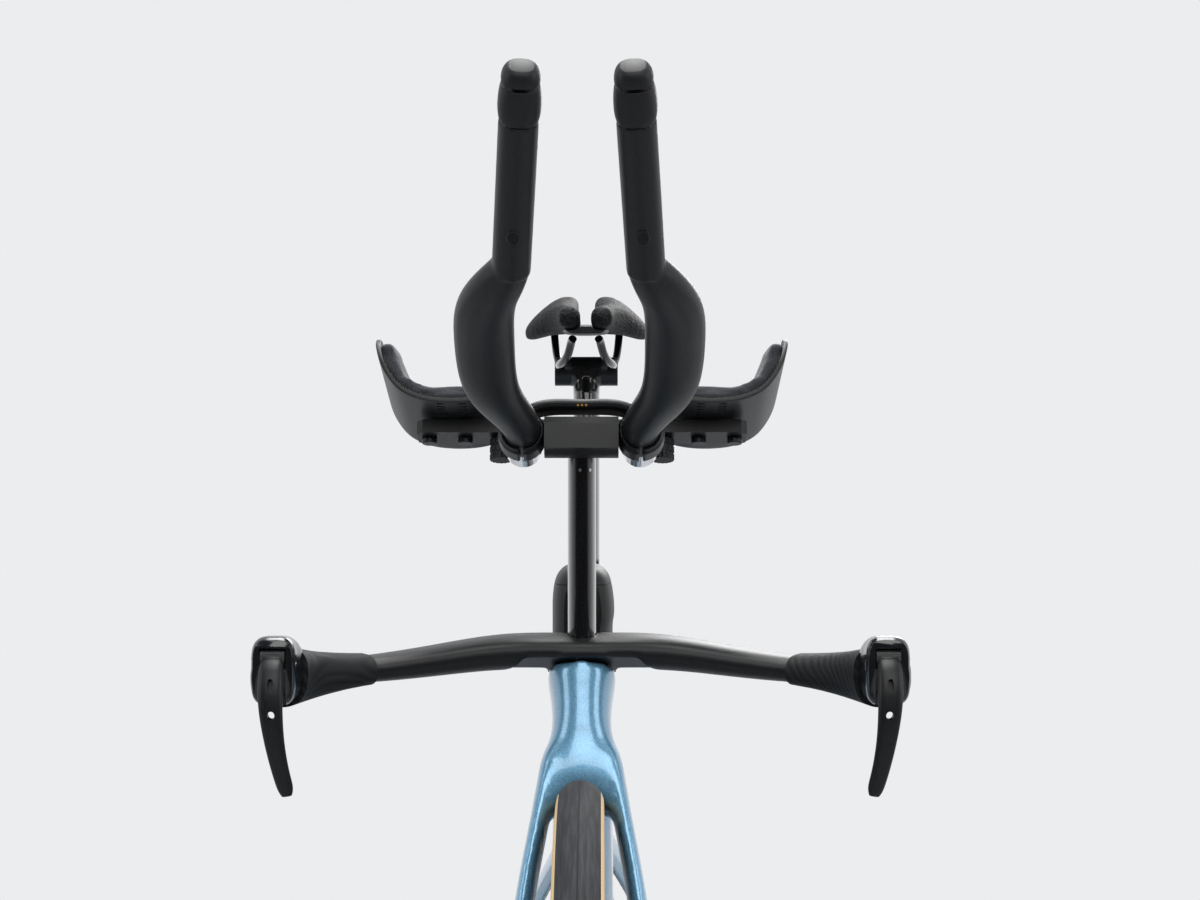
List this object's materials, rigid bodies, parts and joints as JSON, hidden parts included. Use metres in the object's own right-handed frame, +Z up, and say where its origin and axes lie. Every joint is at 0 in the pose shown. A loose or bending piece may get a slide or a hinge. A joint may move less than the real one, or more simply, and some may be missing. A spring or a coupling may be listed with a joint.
{
  "type": "time trial bicycle",
  "caption": "Racing bicycle with a low base bar, raised forearm rests and forward extensions, a bladed carbon frame and fork, deep rims, disc brakes, a split-nose saddle and a fuel box.",
  "frame": {"origin": "on the ground, midway between the two axles, in the middle plane", "axes": "+X forward, +Y to the rider's left, +Z up"},
  "size_m": [1.667, 0.418, 1.0846],
  "materials": {
    "frame_paint": "gloss",
    "gloss_carbon": "gloss",
    "satin_carbon": "satin",
    "black_plastic": "matt",
    "grip_rubber": "matt",
    "pad_fabric": "matt",
    "tyre_rubber": "matt",
    "black_alloy": "satin",
    "steel": "brushed"
  },
  "bodies": {
    "frame": {"frame": "frame_paint", "seat_wedge": "black_alloy", "headset_bearings": "steel", "bottom_bracket": "black_alloy", "rear_axle": "black_alloy", "rear_caliper": "black_alloy", "chain": "steel", "changer_cage": "black_alloy", "changer_arm": "black_alloy", "fuel_box": "black_plastic"},
    "steering": {"fork": "frame_paint", "front_axle": "black_alloy", "front_caliper": "black_alloy", "riser_mast": "gloss_carbon", "base_bar": "satin_carbon", "grip_left": "grip_rubber", "grip_right": "grip_rubber", "lever_housing_left": "black_plastic", "lever_housing_right": "black_plastic", "riser_head": "gloss_carbon", "extension_left": "satin_carbon", "extension_right": "satin_carbon", "shifter_left": "black_plastic", "shifter_right": "black_plastic", "extension_bridge": "satin_carbon", "arm_brackets": "gloss_carbon", "arm_cup_left": "satin_carbon", "arm_cup_right": "satin_carbon", "arm_pad_left": "pad_fabric", "arm_pad_right": "pad_fabric", "cockpit_bolts": "steel"},
    "front_wheel": {"front_tyre": "tyre_rubber", "front_rim": "gloss_carbon", "front_spokes": "steel", "front_rotor": "steel", "front_hub": "black_alloy"},
    "rear_wheel": {"rear_tyre": "tyre_rubber", "rear_rim": "gloss_carbon", "rear_spokes": "steel", "rear_rotor": "steel", "rear_hub": "black_alloy"},
    "cassette": {"cassette": "steel"},
    "crankset": {"crank_right": "gloss_carbon", "crank_left": "gloss_carbon", "chainring": "black_alloy", "pedal_axles": "steel"},
    "pedal_left": {"pedal_left": "black_plastic"},
    "pedal_right": {"pedal_right": "black_plastic"},
    "guide_pulley": {"guide_pulley": "black_plastic"},
    "tension_pulley": {"tension_pulley": "black_plastic"},
    "fuel_box_lid": {"fuel_box_lid": "black_plastic"},
    "seat": {"seatpost": "gloss_carbon", "saddle_clamp": "black_alloy", "saddle_rails": "gloss_carbon", "saddle_base": "satin_carbon", "saddle_pads": "pad_fabric"},
    "brake_lever_left": {"brake_lever_left": "satin_carbon"},
    "brake_lever_right": {"brake_lever_right": "satin_carbon"},
    "shift_button_left": {"shift_button_left": "black_plastic"},
    "shift_button_right": {"shift_button_right": "black_plastic"}
  },
  "joints": [
    {"name": "steer", "type": "hinge", "parent": "frame", "child": "steering", "pos_m": [0.3235, 0, 0.733], "axis": [-0.3007, 0, 0.9537], "range_deg": [-35, 35]},
    {"name": "front_wheel_spin", "type": "hinge", "parent": "steering", "child": "front_wheel", "pos_m": [0.4935, 0, 0.34], "axis": [0, 1, 0], "continuous": true},
    {"name": "rear_wheel_spin", "type": "hinge", "parent": "frame", "child": "rear_wheel", "pos_m": [-0.4935, 0, 0.34], "axis": [0, 1, 0], "continuous": true},
    {"name": "crank_spin", "type": "hinge", "parent": "frame", "child": "crankset", "pos_m": [-0.0915, 0, 0.26], "axis": [0, 1, 0], "continuous": true},
    {"name": "cassette_spin", "type": "hinge", "parent": "frame", "child": "cassette", "pos_m": [-0.4935, 0, 0.34], "axis": [0, 1, 0], "continuous": true},
    {"name": "guide_pulley_spin", "type": "hinge", "parent": "frame", "child": "guide_pulley", "pos_m": [-0.4775, -0.046, 0.268], "axis": [0, 1, 0], "continuous": true},
    {"name": "tension_pulley_spin", "type": "hinge", "parent": "frame", "child": "tension_pulley", "pos_m": [-0.4375, -0.046, 0.2], "axis": [0, 1, 0], "continuous": true},
    {"name": "pedal_left_spin", "type": "hinge", "parent": "crankset", "child": "pedal_left", "pos_m": [-0.2615, 0.1, 0.26], "axis": [0, 1, 0], "continuous": true},
    {"name": "pedal_right_spin", "type": "hinge", "parent": "crankset", "child": "pedal_right", "pos_m": [0.0785, -0.1, 0.26], "axis": [0, 1, 0], "continuous": true},
    {"name": "lid_open", "type": "hinge", "parent": "frame", "child": "fuel_box_lid", "pos_m": [0.12878, 0, 0.7938], "axis": [0, -1, 0], "range_deg": [0, 75]},
    {"name": "seat_height", "type": "slide", "parent": "frame", "child": "seat", "axis": [-0.1564, 0, 0.9877], "range_m": [-0.04, 0.03]},
    {"name": "brake_left", "type": "hinge", "parent": "steering", "child": "brake_lever_left", "pos_m": [0.4235, 0.19, 0.74846], "axis": [0, 1, 0], "range_deg": [0, 22], "stiffness_Nm_per_rad": 1.2, "springref_deg": -6.88},
    {"name": "shift_left", "type": "slide", "parent": "steering", "child": "shift_button_left", "axis": [-0.6435, 0.0643, -0.7628], "range_m": [0, 0.0016], "stiffness_N_per_m": 800, "springref_m": -0.0015},
    {"name": "brake_right", "type": "hinge", "parent": "steering", "child": "brake_lever_right", "pos_m": [0.4235, -0.19, 0.74846], "axis": [0, 1, 0], "range_deg": [0, 22], "stiffness_Nm_per_rad": 1.2, "springref_deg": -6.88},
    {"name": "shift_right", "type": "slide", "parent": "steering", "child": "shift_button_right", "axis": [-0.6435, -0.0643, -0.7628], "range_m": [0, 0.0016], "stiffness_N_per_m": 800, "springref_m": -0.0015}
  ],
  "couplings": [
    {"joint": "cassette_spin", "follows": "crank_spin", "ratio": 3.7143},
    {"joint": "guide_pulley_spin", "follows": "crank_spin", "ratio": -4.3333},
    {"joint": "tension_pulley_spin", "follows": "crank_spin", "ratio": 4.3333}
  ]
}
